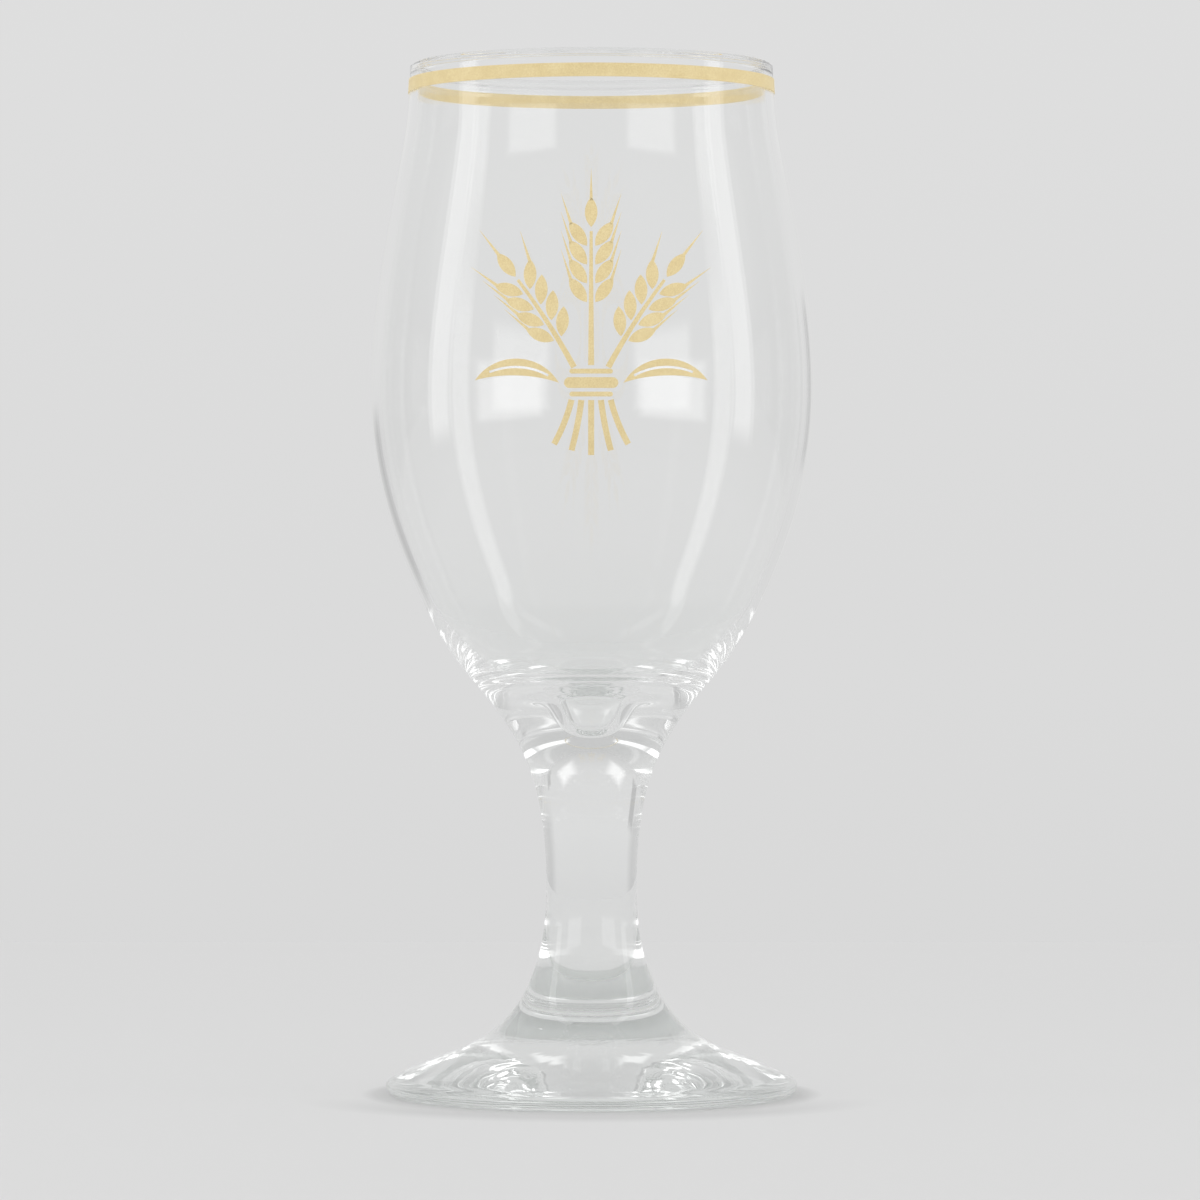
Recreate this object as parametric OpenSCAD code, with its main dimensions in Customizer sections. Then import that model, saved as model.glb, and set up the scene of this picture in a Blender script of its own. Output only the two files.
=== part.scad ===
// Stemmed beer glass. A clear blown bowl, a pressed stem and a pressed foot are fused face to
// face on flat joints. A gold line is fired on just below the rim, and a gold barley sheaf is
// fired on the front of the bowl.
// Millimetres. The glass stands on Z = 0, its axis is Z, and the sheaf faces -Y.

/* [Whole glass] */
// Height of the glass, from the table to the rim
glass_h = 178; // [172:0.5:186]

/* [Foot] */
// Widest diameter of the foot
foot_d = 71.1; // [66:0.1:78]
// Height of the foot, from the table to its joint with the stem
foot_h = 22; // [19:0.5:25]
// Height at which the edge of the foot is widest
edge_h = 1.5; // [1.1:0.1:1.9]
// How far the top of the rounded edge lies in from the widest point
edge_in = 2.4; // [1.8:0.1:3]
// Height of the top of the rounded edge
edge_top_h = 3.4; // [2.8:0.1:4]
// How far the foot's slope runs in from the widest point before it turns up
skirt_in = 12.2; // [10:0.2:14]
// Height at which the foot's slope turns up into the stem
skirt_h = 7.6; // [6.4:0.2:9]
// How far the flat resting ring lies in from the widest point
rest_in = 3; // [2:0.1:4]
// Width of the flat resting ring
rest_w = 1.6; // [1:0.1:2.4]
// Rise of the hollow under the foot, at the axis
hollow_h = 0.8; // [0.4:0.1:2]

/* [Stem] */
// Diameter of the joint between foot and stem
foot_joint_d = 19.5; // [17.5:0.1:21.5]
// Height of the stem's waist above the joint with the foot
waist_rise = 13.2; // [11:0.1:15]
// Diameter of the stem at its waist
waist_d = 15.7; // [14:0.1:17]
// Height of the bowl's joint above the waist
stem_rise = 20.3; // [18:0.1:23]
// Diameter of the joint between stem and bowl
bowl_joint_d = 21; // [19:0.1:23]

/* [Bowl] */
// Height of the flare above the bowl's joint
flare_rise = 16.5; // [14.5:0.1:18.5]
// Outside diameter of the bowl at the flare
flare_d = 42; // [39:0.1:45]
// Height from the flare to the shoulder, where the bowl grows steep
shoulder_rise = 16; // [14:0.1:18]
// Outside diameter of the bowl at the shoulder
shoulder_d = 61; // [58:0.1:64]
// Height from the shoulder to the belly
belly_rise = 34; // [30:0.5:38]
// Outside diameter of the bowl at the belly, its widest point
belly_d = 76.5; // [73:0.1:80]
// Outside diameter of the bowl where the lip begins
lip_d = 65; // [63:0.1:68]
// Height of the lip, up to the rim
lip_h = 13; // [11:0.1:15]
// Outside diameter of the rim
rim_d = 62.8; // [61:0.1:65]
// Thickness of the wall
wall_t = 1.55; // [1.2:0.05:2]
// Height above the bowl's joint at which the cavity's floor meets its wall
corner_rise = 20; // [18:0.1:22]
// Glass outside that corner, measured level
corner_t = 3; // [2.4:0.1:3.8]
// Height over which the wall thins from the corner to its full thinness
taper_h = 10; // [8:0.5:13]
// Diameter inside which the cavity's floor is nearly level
floor_d = 32; // [29:0.5:35]
// How far the floor drops from its corner to there
floor_drop = 2.9; // [2.3:0.1:3.5]
// Diameter of the small well drawn down in the middle of the floor
well_d = 11; // [9:0.2:14]
// How far the floor drops from its corner to the edge of the well
well_drop = 4.3; // [3.6:0.1:5]
// Thickness of the glass under the well, at the axis
floor_t = 8.8; // [7:0.1:11]

/* [Gold line] */
// Distance from the rim down to the gold line
line_drop = 2.7; // [2:0.1:4]
// Width of the gold line
line_w = 2.3; // [1.5:0.1:3]

/* [Gold sheaf] */
// Clear glass between the gold line and the tip of the sheaf
sheaf_drop = 15.55; // [10:0.05:22]
// Length of the tie across the stalks
tie_l = 9; // [8:0.1:10]
// Width of the tie's middle stripe
tie_w = 1.8; // [1.4:0.1:2.2]
// Width of the stripes on either side of it
tie_edge_w = 0.8; // [0.6:0.1:1]
// Clear glass between the tie's stripes, and between the tie and what it gathers
tie_gap = 0.6; // [0.4:0.05:0.8]
// Length of the middle stalk below the tie's middle
stalk_l = 12; // [9:0.5:15]
// Width of a stalk, and of an ear's stem at its root
stalk_w = 1; // [0.8:0.05:1.2]
// Distance from one stalk to the next, at the tie
stalk_pitch = 1.35; // [1.25:0.05:1.5]
// Height of the lowest grains of the middle ear above the tie's middle
middle_bare_l = 13.4; // [12.6:0.1:15]
// Distance along an outer ear from the tie's middle to its lowest grains
outer_bare_l = 8.4; // [8:0.1:9]
// Width of an ear's stem at its topmost grains
spine_w = 0.5; // [0.4:0.05:0.6]
// Length of a grain
grain_l = 5; // [4.4:0.1:5.4]
// Width of a grain
grain_w = 2.1; // [1.7:0.1:2.3]
// Distance along the ear from one pair of grains to the next
grain_pitch = 3.15; // [2.9:0.05:3.4]
// Distance from the middle of an ear to the root of a grain
grain_out = 0.7; // [0.55:0.05:0.85]
// Length of an awn, the bristle at a grain's tip
awn_l = 5.5; // [4:0.5:7]
// Width of an awn at its root
awn_w = 0.55; // [0.4:0.05:0.7]
// Length of a leaf
leaf_l = 15; // [12:0.5:17]
// Width of a leaf
leaf_w = 2.8; // [2.2:0.1:3.2]
// Width of the clear line along the middle of a leaf
rib_w = 0.4; // [0.3:0.05:0.5]
// Thickness of the fired gold
gold_t = 0.12; // [0.08:0.01:0.2]

/* [Hidden] */
glass_colour = [0.86, 0.90, 0.90, 0.45];
gold_colour = [0.91, 0.80, 0.52];

// The gold stands this far off the glass, so that it never cuts into it
gold_gap = 0.05;
// Overrun of a cutting shape
over = 1;

// Steps along each stretch of the outline, and round an arc
curve_steps = 10;
arc_steps = 12;
strip_steps = 6;
turn_fn = 128;

// The sheaf's counts, angles and shares
grain_pairs = 4;
grain_tilt = 36;
awn_tilt = 18;
ear_lean = 27;
ear_turn = 10;
outer_root_share = 1 / 6;
stalk_pairs = 2;
stalk_lean = 4;
stalk_turn = 12;
leaf_lean = 50;
leaf_turn = 75;
rib_from_share = 0.14;
rib_to_share = 0.82;

// Heights
waist_z = foot_h + waist_rise;
bowl_z = waist_z + stem_rise;
flare_z = bowl_z + flare_rise;
shoulder_z = flare_z + shoulder_rise;
belly_z = shoulder_z + belly_rise;
rim_z = glass_h;
lip_z = rim_z - lip_h;
corner_z = bowl_z + corner_rise;
line_z = rim_z - line_drop - line_w;

// The sheaf, from the middle of its tie up to its tip and down to its lowest stalk
sheaf_up = middle_bare_l + grain_pitch * grain_pairs + grain_l - awn_w + awn_l;
sheaf_down = stalk_l;
tie_z = line_z - sheaf_drop - sheaf_up;

// How fast the radius grows with height, at each station of the side
foot_joint_lean = -0.34;
bowl_joint_lean = 0.34;
flare_lean = 0.883;
shoulder_lean = 0.454;
lip_lean = -0.17;
rim_lean = -0.012;

// The glass's side, from the foot's joint to the rim: height, radius and lean
SIDE = [
    [foot_h, foot_joint_d / 2, foot_joint_lean],
    [waist_z, waist_d / 2, 0],
    [bowl_z, bowl_joint_d / 2, bowl_joint_lean],
    [flare_z, flare_d / 2, flare_lean],
    [shoulder_z, shoulder_d / 2, shoulder_lean],
    [belly_z, belly_d / 2, 0],
    [lip_z, lip_d / 2, lip_lean],
    [rim_z, rim_d / 2, rim_lean]];
foot_joint = 0;
bowl_joint = 2;
rim_station = len(SIDE) - 1;

// Stretch of the side that holds a height
function stretch(z, i = 0) = i >= rim_station - 1 || z <= SIDE[i + 1][0] ? i : stretch(z, i + 1);

// Radius of a stretch at a share of its height, as a cubic through both ends and their leans
function span_r(a, b, t) =
    (2 * pow(t, 3) - 3 * pow(t, 2) + 1) * a[1]
    + (pow(t, 3) - 2 * pow(t, 2) + t) * (b[0] - a[0]) * a[2]
    + (3 * pow(t, 2) - 2 * pow(t, 3)) * b[1]
    + (pow(t, 3) - pow(t, 2)) * (b[0] - a[0]) * b[2];

// Lean of a stretch at a share of its height
function span_lean(a, b, t) =
    6 * (t - t * t) * (b[1] - a[1]) / (b[0] - a[0])
    + (3 * t * t - 4 * t + 1) * a[2] + (3 * t * t - 2 * t) * b[2];

function side_r(z) =
    let (i = stretch(z), a = SIDE[i], b = SIDE[i + 1]) span_r(a, b, (z - a[0]) / (b[0] - a[0]));
function side_lean(z) =
    let (i = stretch(z), a = SIDE[i], b = SIDE[i + 1]) span_lean(a, b, (z - a[0]) / (b[0] - a[0]));

// Heights of the outline's points, from one station of the side to another
function side_heights(first, last) = concat(
    [for (i = [first : last - 1], k = [0 : curve_steps - 1])
        SIDE[i][0] + (SIDE[i + 1][0] - SIDE[i][0]) * k / curve_steps],
    [SIDE[last][0]]);

// Points of the side between two stations
function side(first, last) = [for (z = side_heights(first, last)) [side_r(z), z]];

// A smooth curve from a to b that leaves and arrives at these angles. Each end holds its
// direction for a share of the distance between them.
function sweep(a, leave, b, arrive, hold_a_share, hold_b_share) =
    let (d = norm(b - a),
         p = a + hold_a_share * d * [cos(leave), sin(leave)],
         q = b - hold_b_share * d * [cos(arrive), sin(arrive)])
    [for (k = [0 : arc_steps]) let (t = k / arc_steps, s = 1 - t)
        s * s * s * a + 3 * s * s * t * p + 3 * s * t * t * q + t * t * t * b];

// A list from its end to its start
function reversed(list) = let (n = len(list)) [for (k = [1 : n]) list[n - k]];

// Foot: a trumpet with a rounded edge, a flat resting ring and a shallow hollow underneath
foot_r = foot_d / 2;
rest_out_r = foot_r - rest_in;
rest_in_r = rest_out_r - rest_w;
edge_angle = 151;
skirt_angle = 158;
joint_angle = 90 - atan(foot_joint_lean);

module foot() {
    edge = [foot_r, edge_h];
    edge_top = [foot_r - edge_in, edge_top_h];
    skirt = [foot_r - skirt_in, skirt_h];
    joint = [foot_joint_d / 2, foot_h];
    hollow = [for (k = [0 : arc_steps]) let (s = k / arc_steps)
        [rest_in_r * s, hollow_h * (1 - s * s)]];
    color(glass_colour)
        rotate_extrude($fn = turn_fn)
            polygon(concat(
                hollow,
                sweep([rest_out_r, 0], 0, edge, 90, 0.6, 0.35),
                sweep(edge, 90, edge_top, edge_angle, 0.35, 0.5),
                sweep(edge_top, edge_angle, skirt, skirt_angle, 0.39, 0.32),
                sweep(skirt, skirt_angle, joint, joint_angle, 0.43, 0.38),
                [[0, foot_h]]));
}

// Stem: waisted, round, solid
module stem() {
    color(glass_colour)
        rotate_extrude($fn = turn_fn)
            polygon(concat(
                [[0, foot_h]],
                side(foot_joint, bowl_joint),
                [[0, bowl_z]]));
}

// Radius of the cavity: the side, less the wall, less the extra glass near the floor
corner_r = side_r(corner_z) - corner_t;
function wall_level(z) = wall_t * sqrt(1 + pow(side_lean(z), 2));
corner_extra = corner_t - wall_level(corner_z);
function cavity_r(z) =
    let (k = max(0, 1 - (z - corner_z) / taper_h)) side_r(z) - wall_level(z) - corner_extra * k * k;

// The direction in which the wall comes down to the corner, from its lean just above
corner_step = 0.4;
corner_lean = (cavity_r(corner_z + corner_step) - corner_r) / corner_step;
corner_angle = 270 - atan(corner_lean);

// Floor of the cavity, from its corner to the bottom of the well at the axis
level_angle = 186;
well_angle = 245;
function cavity_floor() =
    let (corner = [corner_r, corner_z],
         level = [floor_d / 2, corner_z - floor_drop],
         well = [well_d / 2, corner_z - well_drop],
         bottom = [0, bowl_z + floor_t])
    concat(
        sweep(corner, corner_angle, level, level_angle, 0.4, 0.4),
        sweep(level, level_angle, well, well_angle, 0.4, 0.3),
        sweep(well, well_angle, bottom, 180, 0.4, 0.4));

// Bowl: a thin wall on a thick floor, with a fire-polished rim
rim_bead_r = wall_t / 2;
rim_mid = [rim_d / 2 - rim_bead_r, rim_z - rim_bead_r];

module bowl() {
    wall_heights = [for (z = side_heights(bowl_joint, rim_station)) if (z < rim_mid[1]) z];
    cavity_heights = [for (z = wall_heights) if (z > corner_z) z];
    color(glass_colour)
        rotate_extrude($fn = turn_fn)
            polygon(concat(
                [[0, bowl_z]],
                [for (z = wall_heights) [side_r(z), z]],
                [for (k = [0 : arc_steps])
                    rim_mid + rim_bead_r * [cos(180 * k / arc_steps), sin(180 * k / arc_steps)]],
                reversed([for (z = cavity_heights) [cavity_r(z), z]]),
                cavity_floor()));
}

// A thin skin that follows the bowl's side between two heights
function skin_heights(low, high) = concat(
    [low],
    [for (z = side_heights(bowl_joint, rim_station)) if (z > low && z < high) z],
    [high]);

module gold_skin(low, high) {
    heights = skin_heights(low, high);
    rotate_extrude($fn = turn_fn)
        polygon(concat(
            [for (z = heights) [side_r(z) + gold_gap, z]],
            reversed([for (z = heights) [side_r(z) + gold_gap + gold_t, z]])));
}

// Gold line below the rim
module rim_line() {
    color(gold_colour) gold_skin(line_z, line_z + line_w);
}

// Lays a flat shape on the front of the bowl. The shape's origin is the middle of the tie.
module fired_on() {
    color(gold_colour)
        intersection() {
            gold_skin(tie_z - sheaf_down - over, tie_z + sheaf_up + over);
            rotate([90, 0, 0]) translate([0, tie_z]) linear_extrude(belly_d) children();
        }
}

// Place and direction at a distance along a line that turns evenly as it rises
function bent(s, lean, turn, l) =
    let (a = lean + turn * s / l, rate = turn / l * PI / 180)
    turn == 0 ? [s * sin(lean), s * cos(lean), lean]
    : [(cos(lean) - cos(a)) / rate, (sin(a) - sin(lean)) / rate, a];

// Outline of a band along such a line, from one distance to another. The shares give its width.
function band_points(from, to, lean, turn, l, w, width_shares) =
    let (n = len(width_shares) - 1,
         line = [for (k = [0 : n]) bent(from + (to - from) * k / n, lean, turn, l)],
         half = [for (k = [0 : n]) w / 2 * width_shares[k]])
    concat(
        [for (k = [0 : n]) let (p = line[k]) [p[0] - half[k] * cos(p[2]), p[1] + half[k] * sin(p[2])]],
        [for (k = [n : -1 : 0]) let (p = line[k])
            [p[0] + half[k] * cos(p[2]), p[1] - half[k] * sin(p[2])]]);

even_shares = [for (k = [0 : strip_steps]) 1];
module strip(from, to, lean, turn, l, w) {
    polygon(band_points(from, to, lean, turn, l, w, even_shares));
}

// Almond with its root at the origin, pointing up: two equal arcs that meet in points
module almond(l, w) {
    arc_r = (l * l + w * w) / (4 * w);
    intersection() {
        translate([arc_r - w / 2, l / 2]) circle(r = arc_r, $fn = turn_fn);
        translate([w / 2 - arc_r, l / 2]) circle(r = arc_r, $fn = turn_fn);
    }
}

// A grain, and the awn at its tip
module grain(awn_turn, has_awn) {
    almond(grain_l, grain_w);
    if (has_awn)
        translate([0, grain_l - awn_w])
            rotate(awn_turn) polygon([[-awn_w / 2, 0], [awn_w / 2, 0], [0, awn_l]]);
}

// Ear of barley: a stem that thins to a spine between pairs of grains, and one grain at the tip.
// The grains on the inner side have no awns, apart from the topmost.
ear_root = tie_w / 2 + tie_gap + tie_edge_w + tie_gap;
stem_width_shares = [for (k = [0 : strip_steps]) 1 - (1 - spine_w / stalk_w) * k / strip_steps];
module ear(lean, turn, bare_l, inner) {
    ear_l = bare_l + grain_pitch * grain_pairs;
    polygon(band_points(ear_root, ear_l - grain_out, lean, turn, ear_l, stalk_w, stem_width_shares));
    for (k = [0 : grain_pairs - 1], side = [-1, 1]) {
        at = bent(bare_l + grain_pitch * k, lean, turn, ear_l);
        translate([at[0], at[1]]) rotate(-at[2])
            translate([side * grain_out, 0]) rotate(-side * grain_tilt)
                grain(side * awn_tilt, side != inner || k == grain_pairs - 1);
    }
    top = bent(ear_l, lean, turn, ear_l);
    translate([top[0], top[1]]) rotate(-top[2]) grain(0, true);
}

module sheaf_ear_left() {
    fired_on() translate([-outer_root_share * tie_l, 0]) ear(-ear_lean, -ear_turn, outer_bare_l, 1);
}
module sheaf_ear_middle() {
    fired_on() ear(0, 0, middle_bare_l, 0);
}
module sheaf_ear_right() {
    fired_on() translate([outer_root_share * tie_l, 0]) ear(ear_lean, ear_turn, outer_bare_l, -1);
}

// Cut stalks that spread below the tie, shorter towards the sides
module sheaf_stalks() {
    fired_on()
        mirror([0, 1])
            for (k = [-stalk_pairs : stalk_pairs])
                translate([k * stalk_pitch, 0])
                    strip(ear_root, stalk_l - abs(k) * tie_gap, k * stalk_lean, k * stalk_turn,
                          stalk_l, stalk_w);
}

// Two leaves that arch out from the tie, each with a clear line along its middle
leaf_width_shares = [for (k = [0 : arc_steps]) let (t = k / arc_steps) 4 * t * (1 - t)];
module leaf() {
    translate([tie_l / 2 + tie_gap * 1.5, 0])
        difference() {
            polygon(band_points(0, leaf_l, leaf_lean, leaf_turn, leaf_l, leaf_w, leaf_width_shares));
            strip(leaf_l * rib_from_share, leaf_l * rib_to_share, leaf_lean, leaf_turn, leaf_l, rib_w);
        }
}

module sheaf_leaves() {
    fired_on() {
        leaf();
        mirror([1, 0]) leaf();
    }
}

// Tie: a broad stripe between two narrow ones, all with round ends
module stripe(l, w) {
    square([l - w, w], center = true);
    for (side = [-1, 1]) translate([side * (l - w) / 2, 0]) circle(d = w, $fn = turn_fn);
}

module sheaf_tie() {
    fired_on() {
        stripe(tie_l, tie_w);
        for (side = [-1, 1])
            translate([0, side * (tie_w / 2 + tie_gap + tie_edge_w / 2)])
                stripe(tie_l - tie_w, tie_edge_w);
    }
}

foot();
stem();
bowl();
rim_line();
sheaf_tie();
sheaf_stalks();
sheaf_leaves();
sheaf_ear_left();
sheaf_ear_middle();
sheaf_ear_right();
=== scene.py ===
# %% [markdown]
# # A stemmed beer glass in clear glass and fired gold
#
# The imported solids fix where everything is: a bowl, a stem and a foot of clear glass, a gold line
# below the rim and a gold barley sheaf on the front. This script gives them their looks. Clear
# glass is hard to judge by its own colour, because it has almost none. What we see is its
# surroundings, bent through thick and thin places, so most of the work here goes into smooth
# surfaces and into what stands round the glass.

import math

import bpy
import numpy as np
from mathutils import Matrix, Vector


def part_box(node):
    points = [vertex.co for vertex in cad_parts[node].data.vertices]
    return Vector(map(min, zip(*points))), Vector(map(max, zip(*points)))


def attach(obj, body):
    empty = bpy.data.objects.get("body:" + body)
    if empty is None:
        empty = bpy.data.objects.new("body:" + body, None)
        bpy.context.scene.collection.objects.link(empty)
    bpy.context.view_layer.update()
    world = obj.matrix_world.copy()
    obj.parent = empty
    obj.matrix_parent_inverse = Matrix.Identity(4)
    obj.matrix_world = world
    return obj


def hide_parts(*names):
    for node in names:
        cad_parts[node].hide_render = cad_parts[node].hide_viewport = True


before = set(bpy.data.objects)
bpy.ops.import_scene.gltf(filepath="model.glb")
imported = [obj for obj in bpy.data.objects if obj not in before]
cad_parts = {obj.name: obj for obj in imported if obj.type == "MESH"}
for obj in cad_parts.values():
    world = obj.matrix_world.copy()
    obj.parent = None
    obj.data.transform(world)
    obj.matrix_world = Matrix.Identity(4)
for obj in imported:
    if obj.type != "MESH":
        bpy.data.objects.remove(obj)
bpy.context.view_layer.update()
MM = 0.001
print("nodes:", ", ".join(sorted(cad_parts)))


# %% [markdown]
# ## The side of the glass
#
# The glass is turned: every piece of it is a profile carried round the Z axis. The outside runs
# unbroken from the foot's joint to the rim, through waist, flare, shoulder, belly and lip. At each
# of these stations we know the height, the radius and how fast the radius grows. A cubic curve
# that keeps both ends and both slopes joins each pair, so the side has no kinks, and kinks are
# what would show first in clear glass. The heights and the widest radius come from the frame.

# %% Stations of the side
def low(node, axis=2):
    """Lowest coordinate of a solid along an axis, in millimetres."""
    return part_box(node)[0][axis] / MM


def high(node, axis=2):
    """Highest coordinate of a solid along an axis, in millimetres."""
    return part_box(node)[1][axis] / MM


foot_r = high("foot", 0)
foot_h = high("foot")
bowl_z = low("bowl")
rim_z = high("bowl")
belly_r = high("bowl", 0)
foot_joint_r = 9.75
bowl_joint_r = high("stem", 0)
lip_h = 13

SIDE = np.array([
    [foot_h, foot_joint_r, -0.34],
    [foot_h + 13.2, 7.85, 0],
    [bowl_z, bowl_joint_r, 0.34],
    [bowl_z + 16.5, 21, 0.883],
    [bowl_z + 32.5, 30.5, 0.454],
    [bowl_z + 66.5, belly_r, 0],
    [rim_z - lip_h, 32.5, -0.17],
    [rim_z, 31.4, -0.012]])
print("stations, mm and lean:", SIDE.round(3).tolist())


# %% Radius and lean of the side
def side(z):
    """Radius and lean at each height z, by the cubic through both ends of the stretch.

    With t the share of the stretch's height h, the radius is
    (2t^3 - 3t^2 + 1) r0 + (t^3 - 2t^2 + t) h m0 + (3t^2 - 2t^3) r1 + (t^3 - t^2) h m1,
    where r and m are the radius and the lean at the two stations.
    """
    z = np.asarray(z, float)
    i = np.clip(np.searchsorted(SIDE[:, 0], z, side="right") - 1, 0, len(SIDE) - 2)
    z0, r0, m0 = np.moveaxis(SIDE[i], -1, 0)
    z1, r1, m1 = np.moveaxis(SIDE[i + 1], -1, 0)
    h = z1 - z0
    t = (z - z0) / h
    radius = (2 * t**3 - 3 * t**2 + 1) * r0 + (t**3 - 2 * t**2 + t) * h * m0 \
        + (3 * t**2 - 2 * t**3) * r1 + (t**3 - t**2) * h * m1
    lean = 6 * (t - t**2) * (r1 - r0) / h + (3 * t**2 - 4 * t + 1) * m0 + (3 * t**2 - 2 * t) * m1
    return radius, lean


def heights(low_z, high_z, step):
    """Heights from one station to another, each stretch in equal steps of about one size."""
    stops = [low_z, *SIDE[(SIDE[:, 0] > low_z) & (SIDE[:, 0] < high_z), 0], high_z]
    parts = [np.linspace(a, b, max(2, round((b - a) / step)), endpoint=False)
             for a, b in zip(stops[:-1], stops[1:])]
    return np.concatenate([*parts, [high_z]])


def outside(low_z, high_z, step):
    """Points (radius, height) of the side between two heights."""
    z = heights(low_z, high_z, step)
    return np.stack([side(z)[0], z], 1)


print("radius at the middle of the belly's rise: %.2f mm" % side(bowl_z + 50)[0])


# %% [markdown]
# ## Curves between stations
#
# The foot's edge and the floor of the cavity turn too tightly to be given as a radius for each
# height. A cubic Bézier curve fits them: it leaves one point in a known direction, arrives at the
# next in another, and two shares say how long it holds each direction.

# %% A sweep from one direction to another
def sweep(a, leave, b, arrive, hold_a_share, hold_b_share, steps=16):
    """Points of the cubic Bézier curve from a to b, leaving and arriving at angles in degrees.

    Its inner control points lie along those directions, at a share of the distance from a to b.
    """
    a, b = np.array(a, float), np.array(b, float)
    d = np.linalg.norm(b - a)
    p = a + hold_a_share * d * np.array([np.cos(np.radians(leave)), np.sin(np.radians(leave))])
    q = b - hold_b_share * d * np.array([np.cos(np.radians(arrive)), np.sin(np.radians(arrive))])
    t = np.linspace(0, 1, steps + 1)[:, None]
    s = 1 - t
    return s**3 * a + 3 * s**2 * t * p + 3 * s * t**2 * q + t**3 * b


def joined(*runs):
    """One list of points from several runs, without the points that repeat."""
    same_mm = 1e-4
    points = np.vstack(runs)
    fresh = np.linalg.norm(np.diff(points, axis=0), axis=1) > same_mm
    return points[np.concatenate([[True], fresh])]


round_hold = 0.3905
quarter = sweep((1, 0), 90, (0, 1), 180, round_hold, round_hold)
print("a sweep draws a quarter circle, round to within %.4f of its radius"
      % np.ptp(np.linalg.norm(quarter, axis=1)))


# %% [markdown]
# ## Turning a profile
#
# A lathe surface is a function of two parameters: the place along the profile and the angle round
# the axis. The profile starts and ends on the axis, so both ends close in a single point, a pole.
# Blender can guess the normals of such a mesh, but its guess ripples where the steps along the
# profile change in length, and refraction makes the ripples plain. So the normals are worked out
# from the profile's own direction, and are given to the mesh corner by corner. A sharp ring, such
# as the edge of a flat joint, gets one normal on each side of it.

# %% Normals of a profile
def profile_normals(points, sharp):
    """Outward normals before and after each point, two arrays of (radial, up).

    The direction at a point is that of the parabola through it and its neighbours:
    (v0 h1 + v1 h0) / (h0 + h1), where v and h are the speed and length of the two steps.
    A sharp point takes the direction of the step on each side of it.
    """
    step = np.diff(points, axis=0)
    h = np.linalg.norm(step, axis=1, keepdims=True)
    v = step / h
    smooth = (v[:-1] * h[1:] + v[1:] * h[:-1]) / (h[:-1] + h[1:])
    along = np.vstack([[1, 0], smooth, [-1, 0]])
    before, after = along.copy(), along.copy()
    for k in sharp:
        before[k], after[k] = v[k - 1], v[k]
    turned = [np.stack([a[:, 1], -a[:, 0]], 1) for a in (before, after)]
    return [n / np.linalg.norm(n, axis=1, keepdims=True) for n in turned]


slope = np.array([[0, 0], [1, 1], [2, 2], [0, 3]])
print("normal halfway up a slope of 45 degrees:", profile_normals(slope, [])[0][1].round(3).tolist())


# %% The lathe
TURNS = 256


def linked(name, mesh):
    """A mesh as an object of the scene, at the origin."""
    piece = bpy.data.objects.new(name, mesh)
    bpy.context.scene.collection.objects.link(piece)
    return piece


def lathe(name, points, sharp=()):
    """A closed surface of revolution: ring k at angle a is (r cos a, r sin a, z), and poles."""
    angle = np.linspace(0, 2 * np.pi, TURNS, endpoint=False)
    round_x, round_y = np.cos(angle), np.sin(angle)

    def carried(pairs):
        r, z = pairs[:, None, 0], pairs[:, None, 1]
        return np.stack([r * round_x, r * round_y, z + 0 * round_x], -1)

    ring = carried(points[1:-1] * MM)
    count = len(ring)
    ids = 1 + np.arange(count * TURNS).reshape(count, TURNS)
    ahead = np.roll(ids, -1, axis=1)
    quads = np.stack([ids[:-1], ahead[:-1], ahead[1:], ids[1:]], -1).reshape(-1, 4)
    last = 1 + count * TURNS
    first_fan = np.stack([0 * ids[0], ahead[0], ids[0]], -1)
    last_fan = np.stack([0 * ids[-1] + last, ids[-1], ahead[-1]], -1)
    poles = np.array([[[0, 0, points[0, 1] * MM]], [[0, 0, points[-1, 1] * MM]]])
    vertices = np.concatenate([poles[0], ring.reshape(-1, 3), poles[1]])

    mesh = bpy.data.meshes.new(name)
    mesh.from_pydata(vertices.tolist(), [], quads.tolist() + first_fan.tolist() + last_fan.tolist())
    before, after = (carried(n) for n in profile_normals(points, sharp))
    up, down = np.broadcast_to([0, 0, 1.0], (TURNS, 3)), np.broadcast_to([0, 0, -1.0], (TURNS, 3))
    next_before, next_after = np.roll(before, -1, axis=1), np.roll(after, -1, axis=1)
    corners = np.stack([after[1:-2], next_after[1:-2], next_before[2:-1], before[2:-1]], 2)
    first = np.stack([down, next_before[1], before[1]], 1)
    final = np.stack([up, after[-2], next_after[-2]], 1)
    normals = np.concatenate([part.reshape(-1, 3) for part in (corners, first, final)])
    mesh.shade_smooth()
    mesh.normals_split_custom_set(normals)
    print("%s: %d points in the profile, %d faces" % (name, len(points), len(mesh.polygons)))
    return linked(name, mesh)


# %% [markdown]
# ## Shader maths as Python
#
# A material is a network of nodes. Written out link by link it is hard to read, so a small class
# wraps one output of the network, and arithmetic on it adds the Math node that does the sum. Every
# other node comes from one method, which takes the node's type, its settings and its inputs.

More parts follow.
